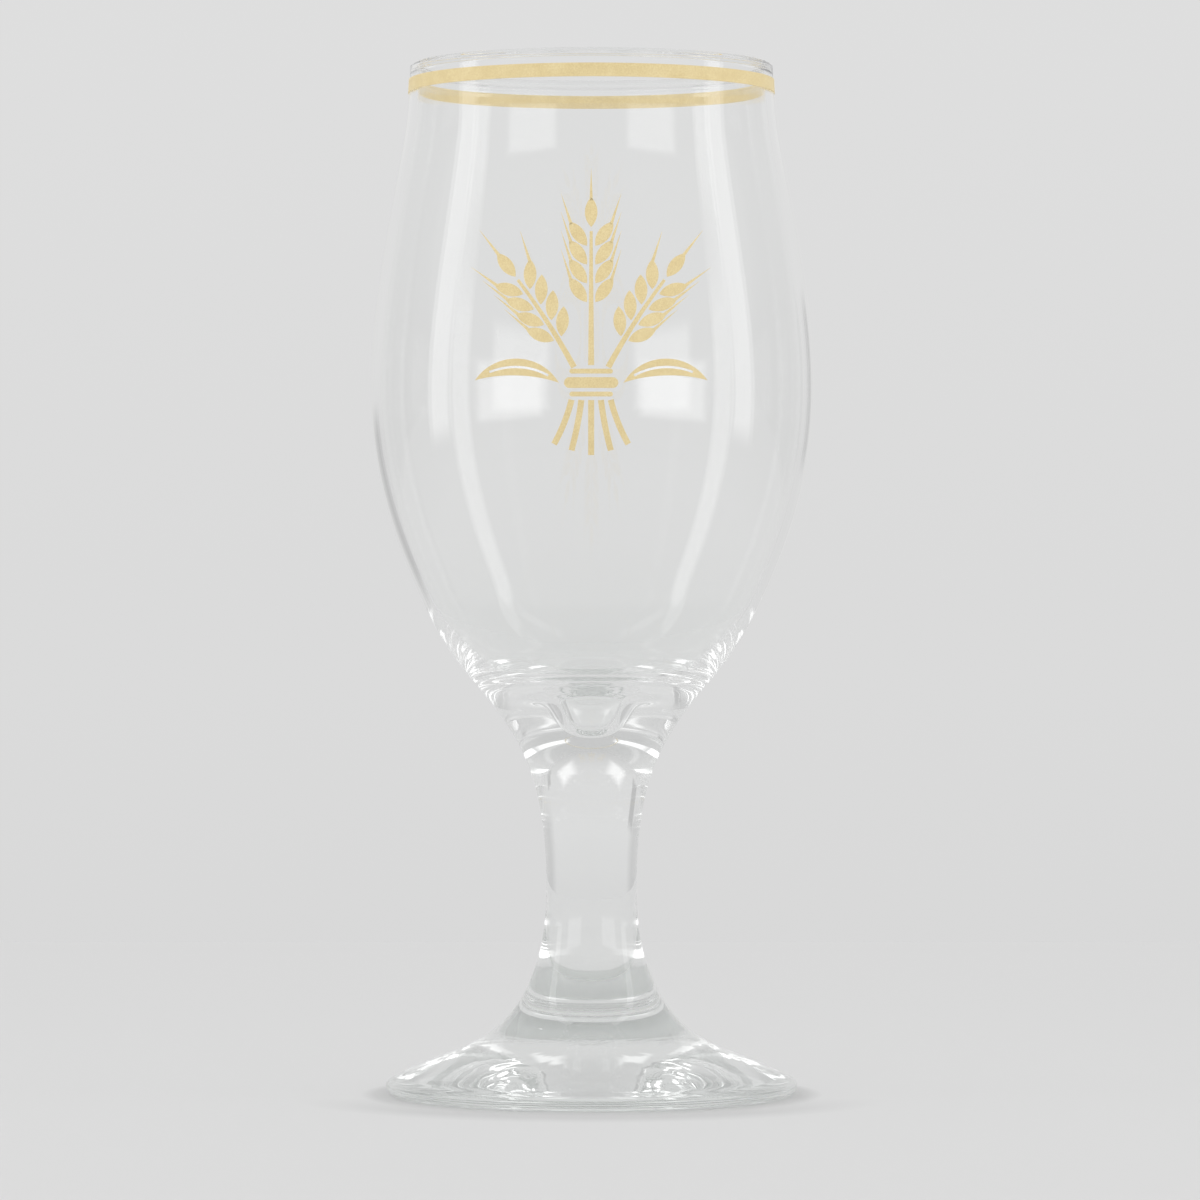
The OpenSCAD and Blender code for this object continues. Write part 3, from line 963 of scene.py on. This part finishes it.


# %% [markdown]
# ## Lamps
#
# Three things in the tent are brighter than its walls, and the glass shows them all. A tall strip
# of light on each side draws the long bright bands down the bowl and down the foot of the stem,
# and leans in overhead, which curves the bands in at the bottom of the bowl. A window in front,
# left and right, draws the pairs of pale rectangles. A panel high up behind the glass, left and
# right, is seen upside down through the top of the stem. A dim card beside the bowl, left and
# right, is painted shade: it gives the bowl's sides their grey edges.
#
# How far away a lamp stands matters as much as its direction. The bowl sees a near lamp low down
# and the stem sees the same lamp higher up, so the distances were found by matching both. All of
# these are cards, because their outlines are what is seen. The panels don't light the table.

# %% Cards of light
def glow(name, radiance, soft_share):
    """A glow that fades to clear towards the edges of a card, over a share of its width.

    With u and v from 0 to 1 across the card, the nearest edge lies min(u, 1-u, v, 1-v) away.
    """
    material, tree = blank(name)
    place = tree.node("ShaderNodeTexCoord", output="UV")
    u, v = place.axis("X"), place.axis("Y")
    near_u = tree.maths("MINIMUM", u, 1 - u)
    near_v = tree.maths("MINIMUM", v, 1 - v)
    fade = tree.maths("MINIMUM", near_u, near_v).mapped(0, soft_share, smooth=True)
    surface = tree.node("ShaderNodeMixShader", inputs={
        "Fac": fade,
        1: tree.node("ShaderNodeBsdfTransparent"),
        2: tree.node("ShaderNodeEmission", inputs={"Color": grey(1), "Strength": radiance})})
    tree.node("ShaderNodeOutputMaterial", inputs={"Surface": surface})
    return material


STRIP = glow("side strip", 1.9, 0.1)
LEAN = glow("leaning strip", 1.3, 0.25)
WINDOW = glow("front window", 1.9, 0.16)
PANEL = glow("high panel", 1.0, 0.35)
# SHADE is no lamp: it is a dim card of painted shade beside the bowl.
SHADE = glow("shade panel", 0.5, 0.2)
strip_x, strip_y, strip_w, strip_back = 0.36, -0.091, 0.094, 0.019
strip_foot_z, strip_bend_z, strip_top_z = 0.045, 0.459, 0.8
lean_overlap, lean_in = 0.05, 0.45
window_away, window_from, window_to = 0.45, math.radians(22), math.radians(62)
window_low_z, window_high_z = 0.057, 0.175
panel_corners = [(0.058, 0.473, 0.275), (0.192, 0.476, 0.197), (0.235, 0.391, 0.308),
                 (0.081, 0.380, 0.389)]
shade_y, shade_near_x = 0.10, 0.066
shade_sizes = {"left": (0.098, 0.058, 0.124), "right": (0.084, 0.100, 0.152)}


def standing(near, far, low_z, high_z, top=None):
    """Corners of a card whose lower edge joins two places (x, y). It is upright, or its upper edge
    joins the two places of top.
    """
    top_near, top_far = top or (near, far)
    return [(*near, low_z), (*far, low_z), (*top_far, high_z), (*top_near, high_z)]


# %% Cards on both sides
for hand, word in ((-1, "left"), (1, "right")):
    x = hand * strip_x
    foot_ends = (x, strip_y), (x, strip_y + strip_w)
    bend_ends = [(x, y - strip_back) for x, y in foot_ends]
    top_ends = [(x * lean_in, y) for x, y in bend_ends]
    near, far = [(hand * window_away * math.sin(a), -window_away * math.cos(a))
                 for a in (window_from, window_to)]
    shade_far_x, shade_low_z, shade_high_z = shade_sizes[word]
    cards = [flat_piece(name + " " + word, corners, material) for name, corners, material in (
        ("strip", standing(*foot_ends, strip_foot_z, strip_bend_z, bend_ends), STRIP),
        ("leaning strip",
         standing(*bend_ends, strip_bend_z - lean_overlap, strip_top_z, top_ends), LEAN),
        ("window", standing(near, far, window_low_z, window_high_z), WINDOW),
        ("panel", [(hand * x, y, z) for x, y, z in panel_corners], PANEL),
        ("shade panel", standing((hand * shade_near_x, shade_y), (hand * shade_far_x, shade_y),
                                 shade_low_z, shade_high_z), SHADE))]
    for card in cards:
        card.visible_camera = False
        card.visible_diffuse = "panel" not in card.name
        card.visible_shadow = False
    print("cards:", ", ".join(card.name for card in cards))


# %% [markdown]
# ## Camera
#
# The camera of the photograph stood about 0.94 m from the glass and level, with its lens just below
# half the height of the glass. The glass fills the height of the frame, so the lens is long.

# %% Camera
IMAGE_PX = 1200
PX_PER_MM = 5.779
camera_away, camera_z, camera_x = 943.5, 85.4, 1.47

camera = bpy.data.cameras.new("camera")
camera.sensor_width = 36
camera.lens = camera.sensor_width * camera_away * PX_PER_MM / IMAGE_PX
camera_object = bpy.data.objects.new("camera", camera)
camera_object.location = (camera_x * MM, -camera_away * MM, camera_z * MM)
camera_object.rotation_euler = (math.pi / 2, 0, 0)
bpy.context.scene.collection.objects.link(camera_object)
bpy.context.scene.camera = camera_object
print("lens: %.1f mm" % camera.lens)

# %% [markdown]
# ## Light paths
#
# Light crosses many surfaces in the thick floor, and a path that is cut off early renders as a
# black speck. So paths through glass are allowed to be long. Cycles also blurs glass on paths that
# have already met a matt surface, to save noise. Rough glass lets less light through, which would
# darken the far side of the gold line, so the blur is off.

# %% Settings and the end
scene = bpy.context.scene
scene.view_settings.view_transform = "Standard"
longest_path = 512
for limit in ("max_bounces", "transmission_bounces", "glossy_bounces", "transparent_max_bounces"):
    setattr(scene.cycles, limit, longest_path)
scene.cycles.blur_glossy = 0
